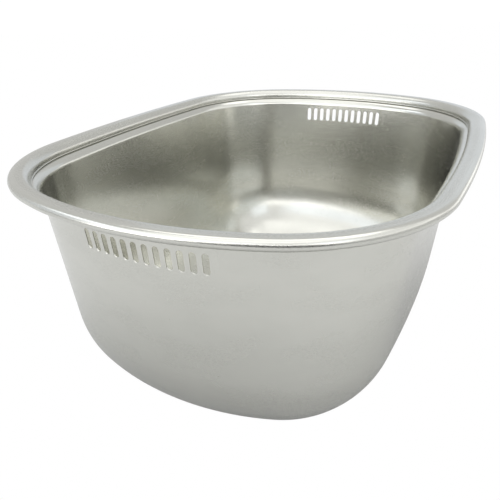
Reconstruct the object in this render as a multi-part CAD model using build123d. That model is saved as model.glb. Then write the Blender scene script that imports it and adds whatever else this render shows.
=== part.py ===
from build123d import *

import math
import os

# Pedicure foot bath: a deep-drawn steel bowl, a pressed rim ring that laps onto
# it, and the wire that the ring's outer edge is rolled over.
#
# Millimetres. The origin is the middle of the base's underside, +Z is up, and the
# long axis is X. Every horizontal section of the bath is the same closed outline of
# eight tangent arcs, drawn in by some inset. So each sheet is drawn once, as a
# section in the plane of (outward, up), and turned about the centre of each arc.

# ---- driving dimensions ----------------------------------------------------------
LENGTH = 400.0          # over the rolled edge
WIDTH = 300.0
HEIGHT = 175.0          # from the base's underside to the rim's top
SHEET = 0.8             # thickness of the pressed sheet

# outline of the rolled edge's centre-line
CORNER_RADIUS = 104.0   # the four corners
END_RADIUS = 220.0      # the two short ends bulge to this radius
SIDE_RADIUS = 1100.0    # the two long sides

# rim ring
CURL_RADIUS = 3.2       # outside radius of the rolled edge
CURL_ANGLE = 300.0      # how far the edge is rolled round the wire
FLANGE_WIDTH = 9.0      # flat top, from the rolled edge's centre-line to the bend line
FLANGE_BEND = 5.4       # middle radius of the bend at the flange's inner side
LEG_LEAN = 4.0          # the inner leg leans this far inward from upright, degrees
LEG_DEPTH = 6.8         # from the rim's top to the leg's lower edge

# bowl
WALL_INSET = 13.0       # rolled edge's centre-line to the wall's outer face, at rim level
WALL_TAPER = 5.0        # degrees inward from upright, going down
BASE_RADIUS = 76.0      # outside radius between wall and base
LEDGE_DEPTH = 8.0       # from the rim's top to the ledge's outer side, where it meets the lip
LEDGE_RISE = 15.0       # the ledge climbs outward at this angle, degrees
SHOULDER_RADIUS = 6.0   # middle radius between ledge and wall
LIP_BEND = 1.2          # middle radius between ledge and lip
LIP_TOP = 5.6           # from the rim's top to the hidden lip's upper edge

# overflow slots, one row in each short end
SLOT_COUNT = 12
SLOT_WIDTH = 3.9
SLOT_LENGTH = 13.0
SLOT_PITCH = 7.5        # along the rolled edge's centre-line
SLOT_DEPTH = 24.0       # from the rim's top to the slots' middle

WIRE_CLEARANCE = 0.05   # all round the wire, inside the rolled edge


# ---- the outline -----------------------------------------------------------------
def outline_arcs():
    """Centre, radius, start angle and sweep of the eight arcs, anticlockwise from +X."""
    half_length = LENGTH / 2 - CURL_RADIUS
    half_width = WIDTH / 2 - CURL_RADIUS
    end_x = half_length - END_RADIUS
    side_y = half_width - SIDE_RADIUS
    # each corner's centre is where circles about the end's and the side's centres cross
    from_end = END_RADIUS - CORNER_RADIUS
    from_side = SIDE_RADIUS - CORNER_RADIUS
    apart = math.hypot(end_x, side_y)
    along = (from_end**2 - from_side**2 + apart**2) / (2 * apart)
    across = math.sqrt(from_end**2 - along**2)
    to_side = Vector(-end_x, side_y) / apart
    corner = Vector(end_x, 0) + to_side * along + Vector(-to_side.Y, to_side.X) * across
    end_half = math.degrees(math.atan2(corner.Y, corner.X - end_x))
    side_start = math.degrees(math.atan2(corner.Y - side_y, corner.X))
    corner_sweep = side_start - end_half
    arcs = []
    for turn, flip in ((0, 1), (180, -1)):
        end = (flip * end_x, 0)
        side = (0, flip * side_y)
        first = (flip * corner.X, flip * corner.Y)
        second = (-flip * corner.X, flip * corner.Y)
        arcs.append((end, END_RADIUS, turn - end_half, 2 * end_half))
        arcs.append((first, CORNER_RADIUS, turn + end_half, corner_sweep))
        arcs.append((side, SIDE_RADIUS, turn + side_start, 180 - 2 * side_start))
        arcs.append((second, CORNER_RADIUS, turn + 180 - side_start, corner_sweep))
    return arcs


ARCS = outline_arcs()


def ring_solid(section):
    """Turn a section, drawn in (outward from the outline, up), along the whole outline."""
    pieces = []
    for centre, radius, start, sweep in ARCS:
        outward = Vector(1, 0, 0).rotate(Axis.Z, start)
        side = outward.cross(Vector(0, 0, 1))
        place = Plane(origin=(*centre, 0), x_dir=outward, z_dir=side)
        profile = place * Pos(radius, 0) * section
        pieces.append(revolve(profile, Axis((*centre, 0), (0, 0, 1)), sweep))
    return pieces[0].fuse(*pieces[1:]).clean()


def inset_plate(inset, thickness):
    """Flat plate, standing on Z = 0, with the outline drawn in by inset."""
    edges = [CenterArc(centre, radius - inset, start, sweep) for centre, radius, start, sweep in ARCS]
    return extrude(make_face(edges), thickness)


# ---- bent sheet sections ---------------------------------------------------------
def meet(point_a, along_a, point_b, along_b):
    """Where the line through point_a along along_a meets the one through point_b."""
    gap = point_b - point_a
    turn = along_a.X * along_b.Y - along_a.Y * along_b.X
    return point_a + along_a * ((gap.X * along_b.Y - gap.Y * along_b.X) / turn)


def heading(degrees):
    """Unit vector that far anticlockwise from outward."""
    return Vector(math.cos(math.radians(degrees)), math.sin(math.radians(degrees)))


def sheet_edge(corners, radii, offset):
    """One face of a bent sheet: the middle line moved to its left and rounded."""
    runs = [(b - a).normalized() for a, b in zip(corners, corners[1:])]
    lefts = [Vector(-run.Y, run.X) * offset for run in runs]
    points = [corners[0] + lefts[0]]
    bend_radii = []
    for i, radius in enumerate(radii):
        here = corners[i + 1]
        points.append(meet(here + lefts[i], runs[i], here + lefts[i + 1], runs[i + 1]))
        turns_left = runs[i].X * runs[i + 1].Y - runs[i].Y * runs[i + 1].X > 0
        bend_radii.append(radius - offset if turns_left else radius + offset)
    points.append(corners[-1] + lefts[-1])
    return FilletPolyline(*points, radius=bend_radii)


def sheet_section(corners, radii):
    """Section of the sheet whose middle line has these corners and bend radii."""
    left = sheet_edge(corners, radii, SHEET / 2)
    right = sheet_edge(corners, radii, -SHEET / 2)
    ends = [Line(left @ 0, right @ 0), Line(left @ 1, right @ 1)]
    return make_face([*left.edges(), *right.edges(), *ends])


# ---- the three pieces ------------------------------------------------------------
CURL_CENTRE = Vector(0, HEIGHT - CURL_RADIUS)
LEG_HEADING = 270 - LEG_LEAN

flange_start = Vector(0, HEIGHT - SHEET / 2)
flange_corner = Vector(-FLANGE_WIDTH, HEIGHT - SHEET / 2)
leg_run = heading(LEG_HEADING)
leg_length = (LEG_DEPTH - SHEET / 2) / -leg_run.Y
leg_end = flange_corner + leg_run * leg_length
lip_line = flange_corner + heading(LEG_HEADING + 90) * SHEET


def rim_ring():
    """Pressed ring: inner leg, flat top, and the outer edge rolled round the wire."""
    flange = sheet_section([flange_start, flange_corner, leg_end], [FLANGE_BEND])
    outside = CenterArc(CURL_CENTRE, CURL_RADIUS, 90, -CURL_ANGLE)
    inside = CenterArc(CURL_CENTRE, CURL_RADIUS - SHEET, 90, -CURL_ANGLE)
    curl = make_face([outside, inside, Line(outside @ 0, inside @ 0), Line(outside @ 1, inside @ 1)])
    return ring_solid(curl + flange)


def bowl_section():
    """Bowl's sheet from the edge of its flat base up to the lip behind the ring's leg."""
    taper = math.radians(WALL_TAPER)
    wall_run = heading(90 - WALL_TAPER)
    wall_point = Vector(-WALL_INSET - SHEET / 2 / math.cos(taper), HEIGHT)
    across = Vector(1, 0)
    middle = Vector(0, SHEET / 2)
    ledge = Vector(0, HEIGHT - LEDGE_DEPTH - SHEET / 2)
    base_corner = meet(middle, across, wall_point, wall_run)
    lip_corner = meet(ledge, across, lip_line, leg_run)
    shoulder_corner = meet(lip_corner, heading(LEDGE_RISE), wall_point, wall_run)
    lip_end = meet(Vector(0, HEIGHT - LIP_TOP), across, lip_line, leg_run)
    base_bend = BASE_RADIUS - SHEET / 2
    # the base's bend starts this far inside the corner of the middle line
    bend_reach = base_bend * math.tan(math.radians(90 - WALL_TAPER) / 2)
    base_edge = base_corner - across * bend_reach
    corners = [base_edge - across, base_corner, shoulder_corner, lip_corner, lip_end]
    section = sheet_section(corners, [base_bend, SHOULDER_RADIUS, LIP_BEND])
    return section, -corners[0].X


def slot_cutters():
    """The slots' cutters, square to the wall, for both ends."""
    wall_inset = WALL_INSET + SLOT_DEPTH * math.tan(math.radians(WALL_TAPER))
    centre_x = LENGTH / 2 - CURL_RADIUS - END_RADIUS
    step = math.degrees(SLOT_PITCH / END_RADIUS)
    cutters = []
    for turn in (0, 180):
        for i in range(SLOT_COUNT):
            angle = (i - (SLOT_COUNT - 1) / 2) * step
            on_wall = Pos(END_RADIUS - wall_inset, 0, HEIGHT - SLOT_DEPTH) * Rot(0, 90 + WALL_TAPER, 0)
            place = Rot(0, 0, turn) * Pos(centre_x, 0, 0) * Rot(0, 0, angle) * on_wall
            cutters.append(place * extrude(SlotOverall(SLOT_LENGTH, SLOT_WIDTH), 3 * SHEET, both=True))
    return cutters


def basin_shell():
    """Deep-drawn bowl with its base, wall, shoulder, ledge, lip and slots."""
    section, plate_inset = bowl_section()
    bowl = ring_solid(section).fuse(inset_plate(plate_inset, SHEET)).clean()
    return bowl.cut(*slot_cutters())


def rim_wire():
    """Steel wire that the outer edge is rolled over."""
    wire_radius = CURL_RADIUS - SHEET - WIRE_CLEARANCE
    return ring_solid(Pos(*CURL_CENTRE) * Circle(wire_radius))


def write_parts():
    """Write one STEP for each piece."""
    os.makedirs("parts", exist_ok=True)
    for make in (basin_shell, rim_ring, rim_wire):
        solid = make()
        solid.label = make.__name__
        export_step(solid, f"parts/{make.__name__}.step")
        print(make.__name__, [round(value, 2) for value in solid.bounding_box().size], round(solid.volume))


write_parts()
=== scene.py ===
import math

import bmesh
import bpy
from mathutils import Matrix, Vector


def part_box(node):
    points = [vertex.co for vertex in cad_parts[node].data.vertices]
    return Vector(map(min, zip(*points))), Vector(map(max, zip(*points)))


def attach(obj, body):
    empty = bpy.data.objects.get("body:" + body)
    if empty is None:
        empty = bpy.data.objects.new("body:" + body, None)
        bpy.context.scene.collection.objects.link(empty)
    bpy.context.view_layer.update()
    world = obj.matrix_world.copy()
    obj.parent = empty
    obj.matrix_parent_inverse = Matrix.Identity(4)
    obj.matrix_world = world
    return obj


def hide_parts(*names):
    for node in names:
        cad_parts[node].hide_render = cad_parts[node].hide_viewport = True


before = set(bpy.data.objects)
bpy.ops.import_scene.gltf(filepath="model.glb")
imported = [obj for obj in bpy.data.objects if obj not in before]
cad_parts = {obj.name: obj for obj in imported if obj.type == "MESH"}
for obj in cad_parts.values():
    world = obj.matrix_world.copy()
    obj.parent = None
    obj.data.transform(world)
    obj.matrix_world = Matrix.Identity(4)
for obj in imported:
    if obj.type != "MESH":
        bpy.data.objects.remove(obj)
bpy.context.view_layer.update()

# Pedicure foot bath, in metres, in the row frame: a bowl of satin stainless sheet and
# the pressed rim that laps onto it. Both are swept round the bath's outline of eight
# tangent arcs. A section is drawn in (outward from the rolled edge's centre-line, up).

MM = 0.001

# ---- sizes -----------------------------------------------------------------------
LENGTH, WIDTH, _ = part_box("rim_ring")[1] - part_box("rim_ring")[0]
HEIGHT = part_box("rim_ring")[1].z
SHEET = 0.8 * MM

CORNER_RADIUS = 104 * MM
END_RADIUS = 220 * MM
SIDE_RADIUS = 1100 * MM

CURL_RADIUS = 3.2 * MM      # rolled edge, outside
CURL_ANGLE = 300            # degrees that the edge is rolled
FLANGE_WIDTH = 9.0 * MM
FLANGE_BEND = 5.4 * MM      # middle radius of the flange's inner bend
LEG_LEAN = 4                # degrees
LEG_DEPTH = 6.8 * MM        # from the rim's top to the leg's lower edge

WALL_INSET = 13.0 * MM
WALL_TAPER = 5.0            # degrees
BASE_RADIUS = 76 * MM
LEDGE_DEPTH = 8.0 * MM      # at the ledge's outer side
LEDGE_RISE = 15             # degrees that the ledge climbs outward
SHOULDER_RADIUS = 6.0 * MM
LIP_BEND = 1.2 * MM
LIP_TOP = 5.6 * MM

SLOT_COUNT = 12
SLOT_WIDTH = 3.9 * MM
SLOT_LENGTH = 13.0 * MM
SLOT_PITCH = 7.5 * MM
SLOT_DEPTH = 24.0 * MM      # from the rim's top to the slots' middle

# ---- fineness of the meshes ------------------------------------------------------
CORNER_STEPS = 36           # columns in each of the outline's arcs
SIDE_STEPS = 30
END_STEPS = 5               # each side of the slots
SLOT_STEPS = 8              # columns across each slot's cell
SLOT_ROWS = 10              # rows down a slot's cell
BEND_STEP = 7.0             # degrees turned by each row of a tight bend
BASE_STEP = 2.8             # and of the large bend into the base
FLAT_STEP = 5.0 * MM        # longest row on a flat stretch
NEAR_ROW = 0.25 * MM        # a flat stretch has a row this close to each end
ROUND_END_STEP = 30         # degrees turned by each row of a cut sheet's rounded edge
EDGE_ROUND = 0.12 * MM      # how far a slot's edges are broken
SLOT_BAND_SPARE = 2.5 * MM  # how far the slots' band of wall runs past them, up and down
BAND_GAP = 0.2 * MM         # rows closer to that band than this are dropped
BASE_RINGS = (0.97, 0.85, 0.65, 0.4, 0.15)      # rings that fill the flat base, shares of its edge
CELL_RINGS = (1.0, 0.72, 0.45, 0.2)             # rings round a slot, shares of the way to its cell
TINY = 0.004 * MM           # points closer than this are one

# ---- steel -----------------------------------------------------------------------
STEEL = (0.612, 0.611, 0.567)
WIRE_STEEL = (0.50, 0.50, 0.48)
PIT_SHARE = 0.3             # of the grain, the rest being hairlines
CLOUD_SPAN = (0.3, 0.7)     # noise values between which a cloud builds up
SCUFF_SPAN = (0.66, 0.74)   # and a scuff
SHOULDER_WEAR = 0.35        # amounts of wear, out of 1
FOOT_WEAR = 0.6
EDGE_WEAR = 0.8             # on the rolled edge
SHOULDER_WEAR_DEPTH = 16 * MM       # wear starts this far below the rim's top
SHOULDER_WEAR_FADE = 6 * MM         # and builds up over this height
FOOT_WEAR_HEIGHT = 2 * MM
EDGE_WEAR_WIDTH = 2 * MM            # inward from the rolled edge's centre-line
EDGE_WEAR_DEPTH = 3 * MM
GRAIN_RELIEF = 0.0006 * MM
WAVE_RELIEF = 0.06 * MM

# ---- studio ----------------------------------------------------------------------
FLOOR_LEVEL = -1.0 * MM
TABLE_LEVEL = -0.5 * MM
FLOOR_HALF = 6.0            # metres
TABLE_NEAR = 0.6            # the table's painted shadow lightens away between these multiples of the bath's half size
TABLE_FAR = 2.0
TABLE_SHADOW_ALBEDO = 0.50           # albedo of the table's painted shadow under the bath
TABLE_LIGHT = 0.73
BACKDROP_DISTANCE = 5.9     # metres
CARD_DISTANCE = 4.0         # the studio's cards
BODY_DISTANCE = 0.85        # the dark shape of the photographer
SKIRTING_DISTANCE = 0.9     # the dull strip all along the near edge of the table
RIGHT_SKIRTING_DISTANCE = 0.7
CARD_STEP = 5               # degrees between a card's columns
SKY = 0.70                  # brightness all round, outside the cards
WHITE = (1, 1, 1)
BLUISH = (0.94, 0.98, 1.04)


# ---- outline ---------------------------------------------------------------------
def outline_arcs():
    """Centre, radius, start angle and sweep of the eight arcs, anticlockwise from +X."""
    end_x = LENGTH / 2 - CURL_RADIUS - END_RADIUS
    side_y = WIDTH / 2 - CURL_RADIUS - SIDE_RADIUS
    from_end = END_RADIUS - CORNER_RADIUS
    from_side = SIDE_RADIUS - CORNER_RADIUS
    apart = math.hypot(end_x, side_y)
    along = (from_end**2 - from_side**2 + apart**2) / (2 * apart)
    across = math.sqrt(from_end**2 - along**2)
    to_side = Vector((-end_x, side_y)) / apart
    corner = Vector((end_x, 0)) + to_side * along + Vector((-to_side.y, to_side.x)) * across
    end_half = math.atan2(corner.y, corner.x - end_x)
    side_start = math.atan2(corner.y - side_y, corner.x)
    corner_sweep = side_start - end_half
    arcs = []
    for turn, flip in ((0, 1), (math.pi, -1)):
        first = (flip * corner.x, flip * corner.y)
        second = (-flip * corner.x, flip * corner.y)
        arcs.append(((flip * end_x, 0), END_RADIUS, turn - end_half, 2 * end_half))
        arcs.append((first, CORNER_RADIUS, turn + end_half, corner_sweep))
        arcs.append(((0, flip * side_y), SIDE_RADIUS, turn + side_start, math.pi - 2 * side_start))
        arcs.append((second, CORNER_RADIUS, turn + math.pi - side_start, corner_sweep))
    return arcs


class Column:
    """One place on the outline, from which sections are drawn inward and up."""

    def __init__(self, centre, radius, angle, travel):
        self.centre = Vector(centre)
        self.radius = radius
        self.angle = angle
        self.travel = travel    # distance round the outline

    def at(self, outward, up):
        reach = self.radius + outward
        x = self.centre.x + reach * math.cos(self.angle)
        y = self.centre.y + reach * math.sin(self.angle)
        return Vector((x, y, up))


def outline_columns():
    """All columns once round, and the index of the first column of each slot's cell."""
    columns = []
    cells = []
    travel = 0
    half_slots = SLOT_COUNT * SLOT_PITCH / END_RADIUS / 2
    for centre, radius, start, sweep in outline_arcs():
        if radius == END_RADIUS:
            middle = start + sweep / 2
            edge = sweep / 2 - half_slots
            turns = [start + edge * i / END_STEPS for i in range(END_STEPS)]
            first = len(columns) + END_STEPS
            cells += [first + i * SLOT_STEPS for i in range(SLOT_COUNT)]
            steps = SLOT_COUNT * SLOT_STEPS
            turns += [middle + half_slots * (2 * i / steps - 1) for i in range(steps)]
            turns += [middle + half_slots + edge * i / END_STEPS for i in range(END_STEPS)]
        else:
            steps = CORNER_STEPS if radius == CORNER_RADIUS else SIDE_STEPS
            turns = [start + sweep * i / steps for i in range(steps)]
        columns += [Column(centre, radius, turn, travel + (turn - start) * radius) for turn in turns]
        travel += sweep * radius
    return columns, cells, travel


COLUMNS, CELLS, PERIMETER = outline_columns()


def grain_point(travel, along):
    """Where the steel's grain is looked up: round a cylinder as long about as the outline."""
    turn = 2 * math.pi * travel / PERIMETER
    reach = PERIMETER / (2 * math.pi)
    return Vector((reach * math.cos(turn), reach * math.sin(turn), along))


# ---- sections --------------------------------------------------------------------
def heading(degrees):
    return Vector((math.cos(math.radians(degrees)), math.sin(math.radians(degrees))))


def cross(a, b):
    return a.x * b.y - a.y * b.x


def meet(point_a, along_a, point_b, along_b):
    """Where the line through point_a along along_a meets the one through point_b."""
    return point_a + along_a * (cross(point_b - point_a, along_b) / cross(along_a, along_b))


def arc_points(centre, radius, start, turn, step):
    """Points on an arc, both ends included. Angles in degrees."""
    steps = max(2, math.ceil(abs(turn) / step))
    return [centre + heading(start + turn * i / steps) * radius for i in range(steps + 1)]


def run_points(start, end):
    """Points between start and end, both left out, with a close row at each end."""
    length = (end - start).length
    near = min(NEAR_ROW, length / 3)
    steps = max(1, math.ceil((length - 2 * near) / FLAT_STEP))
    shares = [near / length + (1 - 2 * near / length) * i / steps for i in range(steps + 1)]
    return [start.lerp(end, share) for share in shares]


def sheet_face(corners, radii, offset, steps):
    """One face of a bent sheet: its middle line, moved to its left by offset, with round bends."""
    runs = [(b - a).normalized() for a, b in zip(corners, corners[1:])]
    lefts = [Vector((-run.y, run.x)) * offset for run in runs]
    points = [corners[0] + lefts[0]]
    for i, radius in enumerate(radii):
        corner = meet(corners[i + 1] + lefts[i], runs[i], corners[i + 1] + lefts[i + 1], runs[i + 1])
        side = 1 if cross(runs[i], runs[i + 1]) > 0 else -1
        bend = radius - side * offset
        turn = math.degrees(runs[i].angle(runs[i + 1]))
        first = corner - runs[i] * bend * math.tan(math.radians(turn) / 2)
        toward = Vector((-runs[i].y, runs[i].x)) * side
        centre = first + toward * bend
        start = math.degrees(math.atan2(-toward.y, -toward.x))
        points += run_points(points[-1], first)
        points += arc_points(centre, bend, start, side * turn, steps[i])
    end = corners[-1] + lefts[-1]
    points += run_points(points[-1], end)
    points.append(end)
    return points


def round_end(first, last):
    """Half circle from first to last, both left out: the rounded edge of a cut sheet."""
    middle = (first + last) / 2
    start = math.degrees(math.atan2(first.y - middle.y, first.x - middle.x))
    return arc_points(middle, (first - last).length / 2, start, -180, ROUND_END_STEP)[1:-1]


def drop_close(points):
    """The same points without any that repeats the one before it."""
    kept = [points[0]]
    for point in points[1:]:
        if (point - kept[-1]).length > TINY:
            kept.append(point)
    return kept


LEG_RUN = heading(270 - LEG_LEAN)
FLANGE_CORNER = Vector((-FLANGE_WIDTH, HEIGHT - SHEET / 2))


def rim_section():
    """Closed section of the rim: rolled edge, flat top, inner bend and leg."""
    curl = Vector((0, HEIGHT - CURL_RADIUS))
    leg_end = FLANGE_CORNER + LEG_RUN * ((LEG_DEPTH - SHEET / 2) / -LEG_RUN.y)
    corners = [Vector((0, HEIGHT - SHEET / 2)), FLANGE_CORNER, leg_end]
    under = sheet_face(corners, [FLANGE_BEND], SHEET / 2, [BEND_STEP])
    upper = sheet_face(corners, [FLANGE_BEND], -SHEET / 2, [BEND_STEP])
    outside = arc_points(curl, CURL_RADIUS, 90 - CURL_ANGLE, CURL_ANGLE, BEND_STEP)
    inside = arc_points(curl, CURL_RADIUS - SHEET, 90, -CURL_ANGLE, 2 * BEND_STEP)
    # travelling inward, the sheet's left is its underside
    leg_edge = round_end(upper[-1], under[-1])
    curl_edge = round_end(inside[-1], outside[0])
    return drop_close(outside + upper + leg_edge + under[::-1] + inside + curl_edge)


def bowl_corners():
    """Middle line of the bowl's sheet, from the flat base up to the lip behind the rim's leg."""
    taper = math.radians(WALL_TAPER)
    wall_run = heading(90 - WALL_TAPER)
    wall_point = Vector((-WALL_INSET - SHEET / 2 / math.cos(taper), HEIGHT))
    across = Vector((1, 0))
    base = Vector((0, SHEET / 2))
    ledge = Vector((0, HEIGHT - LEDGE_DEPTH - SHEET / 2))
    lip_line = FLANGE_CORNER + heading(360 - LEG_LEAN) * SHEET
    base_corner = meet(base, across, wall_point, wall_run)
    lip_corner = meet(ledge, across, lip_line, LEG_RUN)
    shoulder = meet(lip_corner, heading(LEDGE_RISE), wall_point, wall_run)
    lip_end = meet(Vector((0, HEIGHT - LIP_TOP)), across, lip_line, LEG_RUN)
    reach = (BASE_RADIUS - SHEET / 2) * math.tan(math.radians(90 - WALL_TAPER) / 2)
    base_edge = base_corner - across * (reach + MM)
    return [base_edge, base_corner, shoulder, lip_corner, lip_end]


def slot_middle():
    """Middle of the slots, on the wall's middle line, in the section."""
    corners = bowl_corners()
    level = Vector((0, HEIGHT - SLOT_DEPTH))
    return meet(level, Vector((1, 0)), corners[1], corners[2] - corners[1])


# ---- meshes ----------------------------------------------------------------------
def new_mesh():
    """Empty mesh whose points carry a place in the steel's grain and an amount of edge wear."""
    bm = bmesh.new()
    bm.verts.layers.float_vector.new("grain")
    bm.verts.layers.float.new("wear")
    return bm


def add_point(bm, place, grain, wear=0.0):
    vert = bm.verts.new(place)
    vert[bm.verts.layers.float_vector["grain"]] = grain
    vert[bm.verts.layers.float["wear"]] = wear
    return vert


def distances(points):
    """How far along the section each of its points lies."""
    along = [0.0]
    for a, b in zip(points, points[1:]):
        along.append(along[-1] + (b - a).length)
    return along


def sweep(bm, section, closed, wear, hole=None):
    """Quads between the columns' sections. hole(column, row) leaves a quad out."""
    along = distances(section)
    grid = [[add_point(bm, column.at(*point), grain_point(column.travel, far), wear(*point))
             for point, far in zip(section, along)] for column in COLUMNS]
    rows = len(section)
    for i, here in enumerate(grid):
        beyond = grid[(i + 1) % len(grid)]
        for j in range(rows if closed else rows - 1):
            if hole and hole(i, j):
                continue
            k = (j + 1) % rows
            bm.faces.new((here[j], beyond[j], beyond[k], here[k]))
    return grid


def finish_mesh(name, bm, node, material):
    """Weld the mesh, make it a smooth piece on the frame and let it stand for its CAD node."""
    bmesh.ops.remove_doubles(bm, verts=bm.verts, dist=TINY)
    bmesh.ops.recalc_face_normals(bm, faces=bm.faces)
    for face in bm.faces:
        face.smooth = True
    mesh = bpy.data.meshes.new(name)
    bm.to_mesh(mesh)
    bm.free()
    piece = bpy.data.objects.new(name, mesh)
    bpy.context.scene.collection.objects.link(piece)
    mesh.materials.append(material)
    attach(piece, "root")
    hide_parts(node)
    return piece


def close_base(bm, grid, row):
    """Fill the flat base inside the given row of a swept grid."""
    ring = [verts[row] for verts in grid]
    level = ring[0].co.z
    grain = bm.verts.layers.float_vector["grain"]
    step = 0
    for share in BASE_RINGS:
        step -= 20 * MM
        inner = [add_point(bm, (v.co.x * share, v.co.y * share, level), v[grain] + Vector((0, 0, step)))
                 for v in (verts[row] for verts in grid)]
        for i, v in enumerate(ring):
            bm.faces.new((v, ring[(i + 1) % len(ring)], inner[(i + 1) % len(ring)], inner[i]))
        ring = inner
    centre = add_point(bm, (0, 0, level), grain_point(0, step))
    for i, v in enumerate(ring):
        bm.faces.new((v, ring[(i + 1) % len(ring)], centre))


def cell_half():
    """Half the height of the band of wall that holds the slots."""
    return SLOT_LENGTH / 2 + SLOT_BAND_SPARE


def cell_rim():
    """Matching points (across, along) of a slot's cell and of its slot, once round."""
    half_cell = SLOT_PITCH / 2
    half_wide = SLOT_WIDTH / 2
    straight = SLOT_LENGTH / 2 - half_wide
    outer = []
    inner = []
    for flip in (1, -1):
        for i in range(SLOT_STEPS):
            share = i / SLOT_STEPS
            turn = 180 * share
            outer.append(Vector((half_cell * (1 - 2 * share), cell_half())) * flip)
            inner.append((Vector((0, straight)) + heading(turn) * half_wide) * flip)
        for i in range(SLOT_ROWS):
            share = i / SLOT_ROWS
            outer.append(Vector((-half_cell, cell_half() * (1 - 2 * share))) * flip)
            inner.append(Vector((-half_wide, straight * (1 - 2 * share))) * flip)
    return outer, inner


def slot_cell(bm, column_index, face_along):
    """Both faces of the wall round one slot, and the slot's broken edges.

    face_along gives the slots' middle along the section, on the inner and the outer face.
    """
    first = COLUMNS[column_index]
    middle_angle = first.angle + SLOT_PITCH / END_RADIUS / 2
    middle_travel = first.travel + SLOT_PITCH / 2
    corners = bowl_corners()
    up_wall = (corners[2] - corners[1]).normalized()
    outward = Vector((up_wall.y, -up_wall.x))
    middle = slot_middle()
    outer, inner = cell_rim()
    reach = END_RADIUS + middle.x

    half = SHEET / 2

    def put(point, depth, at_cell):
        # the cell's edge lies on the columns, the slot's edge is true to size
        turn = point.x / (END_RADIUS if at_cell else reach)
        section = middle + up_wall * point.y + outward * depth
        return Column(first.centre, END_RADIUS, middle_angle + turn, 0).at(*section)

    def ring(grow, depth, share=0.0, wear=0.0):
        """Points round the slot, share of the way out to the cell's edge."""
        made = []
        for cell, slot in zip(outer, inner):
            edge = slot_point(slot, grow)
            place = put(edge, depth, False).lerp(put(cell, depth, True), share)
            at = edge.lerp(cell, share)
            grain = grain_point(middle_travel + at.x, face_along[depth > 0] + at.y)
            made.append(add_point(bm, place, grain, wear))
        return made

    loops = []
    for side in (1, -1):
        flat = side * half
        face = [ring(EDGE_ROUND, flat, share) for share in CELL_RINGS]
        face.append(ring(2.5 * EDGE_ROUND, flat, wear=0.3))
        face.append(ring(EDGE_ROUND, flat, wear=1.0))
        face.append(ring(0.3 * EDGE_ROUND, side * (half - 0.3 * EDGE_ROUND), wear=1.0))
        face.append(ring(0, side * (half - EDGE_ROUND), wear=0.7))
        loops += face if side == 1 else face[::-1]
    for here, beyond in zip(loops, loops[1:]):
        for i in range(len(here)):
            k = (i + 1) % len(here)
            bm.faces.new((here[i], here[k], beyond[k], beyond[i]))


def slot_point(point, grow):
    """A point of the slot's outline, moved outward from the slot by grow."""
    straight = SLOT_LENGTH / 2 - SLOT_WIDTH / 2
    spine = Vector((0, max(-straight, min(straight, point.y))))
    return point + (point - spine).normalized() * grow


def bowl_faces():
    """The bowl sheet's outer and inner faces, each from the base up, with rows at the slots' band."""
    corners = bowl_corners()
    steps = [BASE_STEP, BEND_STEP, BEND_STEP]
    radii = [BASE_RADIUS - SHEET / 2, SHOULDER_RADIUS, LIP_BEND]
    up_wall = (corners[2] - corners[1]).normalized()
    outward = Vector((up_wall.y, -up_wall.x))
    faces = []
    for side in (1, -1):
        points = sheet_face(corners, radii, -side * SHEET / 2, steps)
        middle = slot_middle() + outward * side * SHEET / 2
        band = [middle + up_wall * cell_half() * (2 * i / SLOT_ROWS - 1) for i in range(SLOT_ROWS + 1)]
        below = [p for p in points if p.y < band[0].y - BAND_GAP]
        above = [p for p in points if p.y > band[-1].y + BAND_GAP]
        faces.append((below + band + above, len(below)))
    return faces


def bowl_wear(outward, up):
    """Worn bright on the shoulder and where the base rubs on what it stands on."""
    shoulder = smooth_step((up - (HEIGHT - SHOULDER_WEAR_DEPTH)) / SHOULDER_WEAR_FADE)
    foot = smooth_step((FOOT_WEAR_HEIGHT - up) / FOOT_WEAR_HEIGHT)
    return SHOULDER_WEAR * shoulder + FOOT_WEAR * foot


def rim_wear(outward, up):
    """Worn bright on top of the rolled edge."""
    sideways = smooth_step((outward + EDGE_WEAR_WIDTH) / EDGE_WEAR_WIDTH)
    upward = smooth_step((up - HEIGHT + EDGE_WEAR_DEPTH) / EDGE_WEAR_DEPTH)
    return EDGE_WEAR * sideways * upward


def smooth_step(share):
    share = max(0.0, min(1.0, share))
    return share * share * (3 - 2 * share)


def make_bowl(material):
    bm = new_mesh()
    (outer, outer_band), (inner, inner_band) = bowl_faces()
    edge = round_end(outer[-1], inner[-1])
    section = outer + edge + inner[::-1]
    inner_top = len(outer) + len(edge) + len(inner) - 1 - inner_band - SLOT_ROWS
    in_cell = {first + i for first in CELLS for i in range(SLOT_STEPS)}

    def hole(column, row):
        in_band = 0 <= row - outer_band < SLOT_ROWS or 0 <= row - inner_top < SLOT_ROWS
        return in_band and column in in_cell

    grid = sweep(bm, section, False, bowl_wear, hole)
    close_base(bm, grid, 0)
    close_base(bm, grid, -1)
    along = distances(section)
    half_rows = SLOT_ROWS // 2
    face_along = (along[inner_top + half_rows], along[outer_band + half_rows])
    for first in CELLS:
        slot_cell(bm, first, face_along)
    return finish_mesh("foot_basin", bm, "basin_shell", material)


def make_rim(material):
    bm = new_mesh()
    sweep(bm, rim_section(), True, rim_wear)
    return finish_mesh("rolled_rim", bm, "rim_ring", material)


# ---- materials -------------------------------------------------------------------
def add_node(tree, kind, inputs=(), **settings):
    """New shader node. inputs pairs a socket with a number or with another node's socket."""
    node = tree.nodes.new(kind)
    for name, value in settings.items():
        setattr(node, name, value)
    for socket, value in inputs:
        if isinstance(value, bpy.types.NodeSocket):
            tree.links.new(value, node.inputs[socket])
        else:
            node.inputs[socket].default_value = value
    return node


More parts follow.
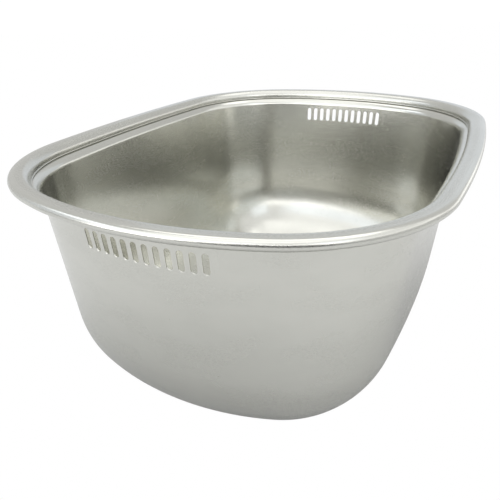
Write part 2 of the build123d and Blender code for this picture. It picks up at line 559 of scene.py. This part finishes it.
def noise(tree, place, along, across, detail=3.0):
    """Noise from 0 to 1 whose features are along metres long and across metres wide."""
    stretch = (1 / along, 1 / along, 1 / across)
    scaled = add_node(tree, "ShaderNodeVectorMath", [(0, place), (1, stretch)], operation="MULTIPLY")
    spots = add_node(tree, "ShaderNodeTexNoise",
                     [("Vector", scaled.outputs[0]), ("Scale", 1.0),
                      ("Detail", detail), ("Roughness", 0.6)])
    return spots.outputs["Fac"]


def remap(tree, value, low, high, to_low, to_high):
    """value from low..high moved smoothly to to_low..to_high."""
    return add_node(tree, "ShaderNodeMapRange", interpolation_type="SMOOTHSTEP", inputs=[
        ("Value", value), ("From Min", low), ("From Max", high),
        ("To Min", to_low), ("To Max", to_high)]).outputs["Result"]


def combine(tree, operation, first, second):
    return add_node(tree, "ShaderNodeMath", [(0, first), (1, second)], operation=operation).outputs[0]


def satin_steel(name, colour, smooth, rough, place_kind="grain"):
    """Satin stainless steel, brushed round the bath.

    Fine hairlines switch between a smooth and a rough finish. Over them lie cloudy
    polishing marks, a few scuffs, and brighter metal where edges have worn.
    """
    material = bpy.data.materials.new(name)
    material.use_nodes = True
    tree = material.node_tree
    shader = tree.nodes["Principled BSDF"]
    shader.inputs["Metallic"].default_value = 1.0
    if place_kind == "grain":
        place = add_node(tree, "ShaderNodeAttribute", attribute_name="grain").outputs["Vector"]
    else:
        place = add_node(tree, "ShaderNodeTexCoord").outputs["Object"]
    worn = add_node(tree, "ShaderNodeAttribute", attribute_name="wear").outputs["Fac"]

    hairlines = noise(tree, place, 2.5 * MM, 0.12 * MM, 2.0)
    pits = noise(tree, place, 0.2 * MM, 0.15 * MM, 1.0)
    clouds = noise(tree, place, 60 * MM, 22 * MM, 3.0)
    waves = noise(tree, place, 90 * MM, 60 * MM, 1.0)
    scuffs = noise(tree, place, 3 * MM, 45 * MM, 2.0)

    # roughness: hairlines, moved by the clouds, polished by wear
    hairline_part = combine(tree, "MULTIPLY", hairlines, 1 - PIT_SHARE)
    grain = combine(tree, "ADD", hairline_part, combine(tree, "MULTIPLY", pits, PIT_SHARE))
    finish = remap(tree, grain, 0.40, 0.60, smooth, rough)
    cloudy = remap(tree, clouds, *CLOUD_SPAN, 0.94, 1.07)
    scuffed = remap(tree, scuffs, *SCUFF_SPAN, 1.0, 1.05)
    polish = remap(tree, worn, 0.0, 1.0, 1.0, 0.75)
    shift = combine(tree, "MULTIPLY", combine(tree, "MULTIPLY", cloudy, scuffed), polish)
    tree.links.new(combine(tree, "MULTIPLY", finish, shift), shader.inputs["Roughness"])

    # colour: a little darker in the clouds and smooth hairlines, a little brighter where worn
    cloud_tone = remap(tree, clouds, *CLOUD_SPAN, 1.02, 0.97)
    grain_tone = remap(tree, grain, 0.35, 0.65, 0.985, 1.015)
    worn_tone = remap(tree, worn, 0.0, 1.0, 1.0, 1.12)
    tone = combine(tree, "MULTIPLY", combine(tree, "MULTIPLY", cloud_tone, grain_tone), worn_tone)
    tint = add_node(tree, "ShaderNodeVectorMath", [(0, colour), ("Scale", tone)], operation="SCALE")
    tree.links.new(tint.outputs[0], shader.inputs["Base Color"])

    # relief: hairlines and pits microns deep, and the slow waves of pressed sheet
    fine = add_node(tree, "ShaderNodeBump",
                    [("Height", grain), ("Distance", GRAIN_RELIEF), ("Strength", 1.0)])
    slow = add_node(tree, "ShaderNodeBump",
                    [("Height", waves), ("Distance", WAVE_RELIEF), ("Strength", 1.0),
                     ("Normal", fine.outputs["Normal"])])
    tree.links.new(slow.outputs["Normal"], shader.inputs["Normal"])
    return material


# ---- stage -----------------------------------------------------------------------
def stage_plane(name, level, colour, glow):
    """Level plane at that height. glow is how bright it shines by itself."""
    bm = bmesh.new()
    bmesh.ops.create_grid(bm, x_segments=1, y_segments=1, size=FLOOR_HALF)
    mesh = bpy.data.meshes.new(name)
    bm.to_mesh(mesh)
    bm.free()
    plane = bpy.data.objects.new(name, mesh)
    bpy.context.scene.collection.objects.link(plane)
    plane.location.z = level
    material = bpy.data.materials.new(name)
    material.use_nodes = True
    shader = material.node_tree.nodes["Principled BSDF"]
    shader.inputs["Base Color"].default_value = (*colour, 1)
    shader.inputs["Specular IOR Level"].default_value = 0
    shader.inputs["Roughness"].default_value = 0.9
    shader.inputs["Emission Color"].default_value = (1, 1, 1, 1)
    shader.inputs["Emission Strength"].default_value = glow
    mesh.materials.append(material)
    return plane


def make_floor():
    """White floor that the camera sees, and the duller table that the steel reflects, with a painted
    shadow under the bath.
    """
    stage_plane("floor", FLOOR_LEVEL, (0, 0, 0), 1.0)
    table = stage_plane("table", TABLE_LEVEL, (1, 1, 1), 0.0)
    table.visible_camera = False
    # painted shadow: the table's colour is darkest under the bath and lightens away from it
    tree = table.data.materials[0].node_tree
    place = add_node(tree, "ShaderNodeTexCoord").outputs["Object"]
    shape = (2 / LENGTH, 2 / WIDTH, 0)
    scaled = add_node(tree, "ShaderNodeVectorMath", [(0, place), (1, shape)], operation="MULTIPLY")
    away = add_node(tree, "ShaderNodeVectorMath", [(0, scaled.outputs[0])], operation="LENGTH")
    shade = remap(tree, away.outputs["Value"], TABLE_NEAR, TABLE_FAR, TABLE_SHADOW_ALBEDO, TABLE_LIGHT)
    tree.links.new(shade, tree.nodes["Principled BSDF"].inputs["Base Color"])


def make_backdrop():
    """White wall far behind the floor, seen only by the camera."""
    wall = studio_card("backdrop", (0, 360), (-3, 80), 1.0, distance=BACKDROP_DISTANCE)
    wall.visible_camera = True
    wall.visible_diffuse = False
    wall.visible_glossy = False


def make_world():
    world = bpy.data.worlds.new("studio")
    world.use_nodes = True
    background = world.node_tree.nodes["Background"]
    background.inputs["Color"].default_value = (1, 1, 1, 1)
    background.inputs["Strength"].default_value = SKY
    bpy.context.scene.world = world


def studio_card(name, azimuths, elevations, brightness, colour=WHITE, distance=CARD_DISTANCE):
    """Curved glowing card round the bath, which the camera doesn't see. Angles in degrees."""
    steps = math.ceil((azimuths[1] - azimuths[0]) / CARD_STEP)
    bm = bmesh.new()
    edges = []
    for i in range(steps + 1):
        azimuth = azimuths[0] + (azimuths[1] - azimuths[0]) * i / steps
        edges.append([bm.verts.new(around(azimuth, elevation, distance)) for elevation in elevations])
    for (low, high), (next_low, next_high) in zip(edges, edges[1:]):
        bm.faces.new((low, next_low, next_high, high))
    mesh = bpy.data.meshes.new(name)
    bm.to_mesh(mesh)
    bm.free()
    card = bpy.data.objects.new(name, mesh)
    bpy.context.scene.collection.objects.link(card)
    card.visible_camera = False
    card.visible_shadow = False
    material = bpy.data.materials.new(name)
    material.use_nodes = True
    shader = material.node_tree.nodes["Principled BSDF"]
    shader.inputs["Base Color"].default_value = (0, 0, 0, 1)
    shader.inputs["Emission Color"].default_value = (*colour, 1)
    shader.inputs["Emission Strength"].default_value = brightness
    mesh.materials.append(material)
    return card


def around(azimuth, elevation, distance):
    """A point seen from the rim's middle in that direction, in degrees from +X and above level."""
    level = math.cos(math.radians(elevation)) * distance
    rise = math.sin(math.radians(elevation)) * distance
    return Vector((*(heading(azimuth) * level), HEIGHT + rise))


# ---- camera ----------------------------------------------------------------------
CAMERA_PLACE = Vector((360.8, 155.8, 268.3)) * MM
CAMERA_HEADING = -153.05    # degrees from +X
CAMERA_PITCH = 26.89        # degrees below the horizon
CAMERA_ROLL = 1.45          # degrees
CAMERA_LENS = 35.63         # on Blender's 36 mm sensor


def make_camera():
    pitch = math.radians(CAMERA_PITCH)
    roll = math.radians(CAMERA_ROLL)
    level = heading(CAMERA_HEADING)
    forward = Vector((level.x * math.cos(pitch), level.y * math.cos(pitch), -math.sin(pitch)))
    right = Vector((level.y, -level.x, 0))
    up = right.cross(forward)
    rolled_right = right * math.cos(roll) - up * math.sin(roll)
    rolled_up = right * math.sin(roll) + up * math.cos(roll)
    lens = bpy.data.cameras.new("camera")
    lens.lens = CAMERA_LENS
    lens.clip_start = 10 * MM
    camera = bpy.data.objects.new("camera", lens)
    bpy.context.scene.collection.objects.link(camera)
    turn = Matrix((rolled_right, rolled_up, -forward)).transposed().to_4x4()
    camera.matrix_world = Matrix.Translation(CAMERA_PLACE) @ turn
    bpy.context.scene.camera = camera


# ---- build -----------------------------------------------------------------------
bpy.context.scene.view_settings.view_transform = "Standard"

shell_steel = satin_steel("shell_steel", STEEL, 0.17, 0.27)
rim_steel = satin_steel("rim_steel", STEEL, 0.22, 0.32)
wire_steel = satin_steel("wire_steel", WIRE_STEEL, 0.35, 0.55, "object")

make_bowl(shell_steel)
make_rim(rim_steel)
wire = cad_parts["rim_wire"]
wire.data.materials.clear()
wire.data.materials.append(wire_steel)

make_floor()
make_backdrop()
make_world()
# dark things close to the bath
studio_card("photographer", (-5, 50), (-12, 6), 0.05, distance=BODY_DISTANCE)
studio_card("photographer_top", (5, 42), (6, 15), 0.1, distance=BODY_DISTANCE)
studio_card("skirting", (-60, 130), (-12, -3), 0.35, distance=SKIRTING_DISTANCE)
studio_card("right_skirting", (75, 165), (-16, -3), 0.7, distance=RIGHT_SKIRTING_DISTANCE)
# the studio, from the lowest cards up; the camera stands at 27 degrees
studio_card("front_band", (-18, 60), (10, 25), 2.5)
studio_card("right_front_band", (60, 132), (10, 25), 1.3)
studio_card("left_band", (-48, -18), (10, 25), 2.0)
studio_card("left_low", (-78, -48), (-4, 25), 0.85, BLUISH)
studio_card("right_low", (132, 162), (-4, 10), 1.5)
studio_card("front_left_low", (-48, 10), (-3, 10), 3.2)
studio_card("front_upper", (-18, 12), (25, 40), 1.7, BLUISH)
studio_card("front_centre", (12, 42), (25, 40), 1.1)
studio_card("right_centre", (42, 72), (25, 40), 1.75, BLUISH)
studio_card("left_upper", (-48, -18), (25, 40), 1.6, BLUISH)
studio_card("left_side_upper", (-78, -48), (25, 40), 2.0, BLUISH)
studio_card("right_upper", (72, 132), (25, 40), 1.05)
studio_card("left_high", (-48, 12), (40, 55), 1.4)
studio_card("front_high", (12, 132), (40, 55), 1.05)
studio_card("back_low", (162, 222), (-4, 25), 0.85, BLUISH)
studio_card("ring_front", (-60, 60), (55, 70), 1.6)
studio_card("ring_right", (60, 95), (55, 70), 1.3)
studio_card("ring_back", (95, 275), (55, 70), 1.85)
studio_card("ceiling", (0, 360), (70, 90), 1.4)
make_camera()
